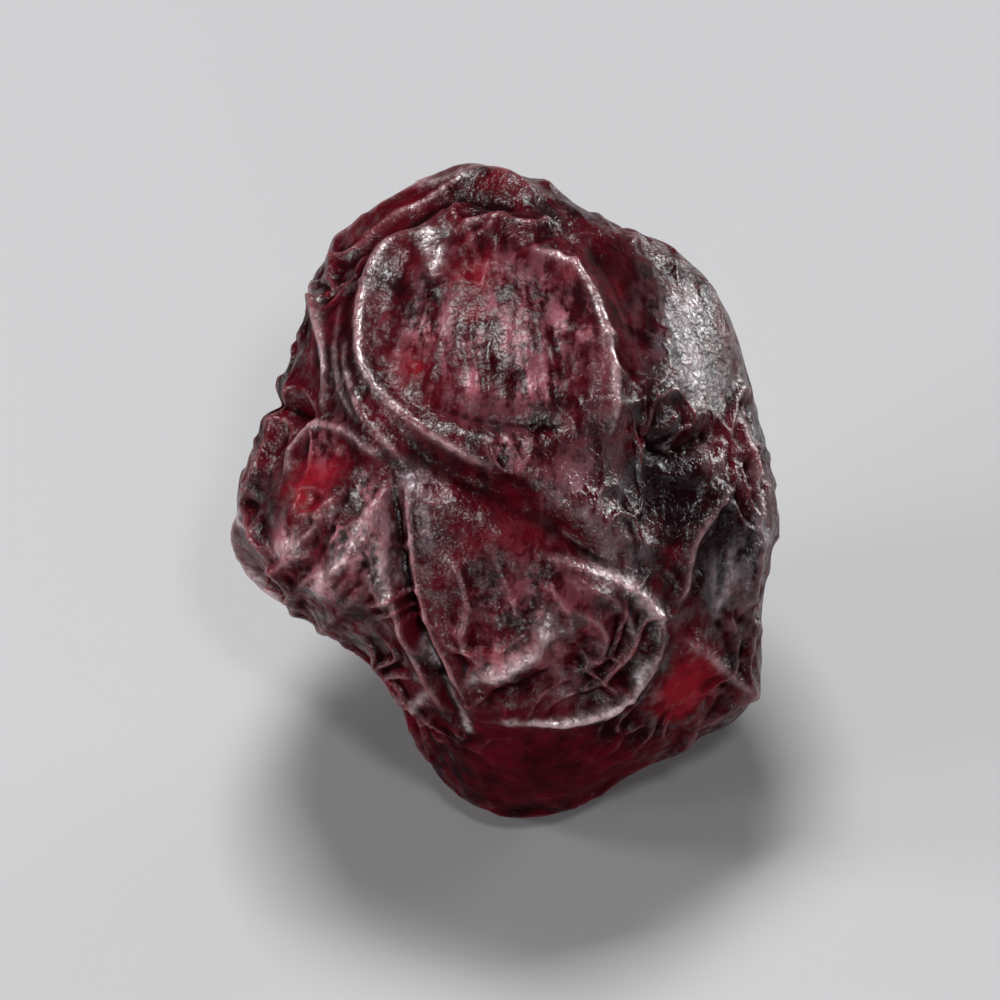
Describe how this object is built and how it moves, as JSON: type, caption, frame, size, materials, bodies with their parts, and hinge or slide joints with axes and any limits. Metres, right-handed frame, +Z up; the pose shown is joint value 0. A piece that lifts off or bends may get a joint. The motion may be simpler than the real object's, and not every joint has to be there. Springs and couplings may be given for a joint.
{
  "type": "dried cranberry",
  "caption": "Whole dried cranberry, an uneven egg form of wrinkled satin skin with rimmed panels, deep creases and a round scar at its flower end.",
  "frame": {"origin": "on the surface that the berry rests on, under the middle of its box", "axes": "+X across the berry, -Y towards the side with the broad panels and the slanting groove, +Z up; the long axis rises 48 degrees from the surface towards +Y"},
  "size_m": [0.0124, 0.0134, 0.0134],
  "materials": {
    "skin": "satin, dark burgundy, wrinkled"
  },
  "bodies": {
    "root": {"berry": "skin"}
  },
  "joints": []
}
